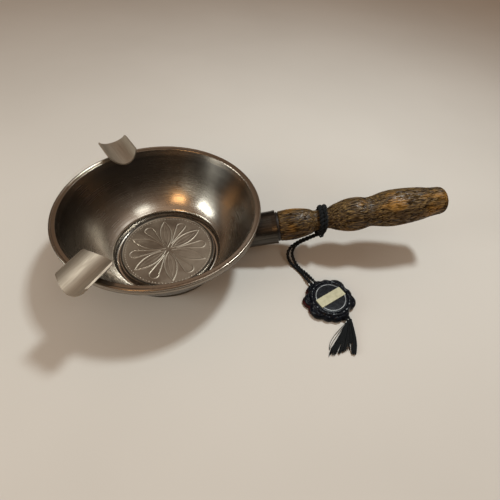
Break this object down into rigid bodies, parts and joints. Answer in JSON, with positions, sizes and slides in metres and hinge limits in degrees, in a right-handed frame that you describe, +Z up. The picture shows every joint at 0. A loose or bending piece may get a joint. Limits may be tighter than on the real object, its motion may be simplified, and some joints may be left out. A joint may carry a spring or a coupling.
{
  "type": "skillet ash bowl",
  "caption": "Pewter ash bowl shaped like a small skillet, with gutter rests on the rim, a rosette medallion inside, a carved wooden handle and a wax seal tag on a black cord.",
  "frame": {"origin": "on the bowl's axis, at the plane the bowl stands on", "axes": "+X from the bowl towards the handle's end, +Z up out of the bowl, -Y towards the seal tag"},
  "size_m": [0.2407, 0.1438, 0.0527],
  "materials": {
    "pewter_bowl": "satin pewter, darkened inside",
    "pewter_medallion": "satin cast pewter with a fine relief",
    "pewter_rests": "satin pewter sheet with fine rub marks",
    "pewter_socket": "satin cast pewter",
    "dark_leather": "dark, waxed",
    "steel_rod": "turned",
    "carved_wood": "dark, carved, with a semi-gloss wax",
    "black_cord": "twisted yarn, matt",
    "dark_red_wax": "pressed wax, dull gloss",
    "black_wax": "pressed wax, dull gloss",
    "silver_wire": "thin bright line",
    "pale_metal": "satin, bare",
    "black_yarn": "loose yarn, matt"
  },
  "bodies": {
    "pan": {"bowl": "pewter_bowl", "medallion": "pewter_medallion", "cigarette_rest_front": "pewter_rests", "cigarette_rest_back": "pewter_rests", "handle_socket": "pewter_socket", "spacer_ring": "dark_leather", "handle_stud": "steel_rod", "wooden_handle": "carved_wood", "cord_wrap": "black_cord", "cord_knot": "black_cord", "cord_strand_left": "black_cord", "cord_strand_right": "black_cord"},
    "seal": {"seal_back": "dark_red_wax", "seal_front": "black_wax", "seal_ring": "silver_wire", "seal_label": "pale_metal", "cord_tail_left": "black_cord", "cord_tail_right": "black_cord", "tassel": "black_yarn"}
  },
  "joints": [
    {"name": "seal_swing", "type": "hinge", "parent": "pan", "child": "seal", "pos_m": [0.09356, -0.03006, 0.0026], "axis": [-0.8536, -0.521, 0], "range_deg": [0, 90]}
  ]
}
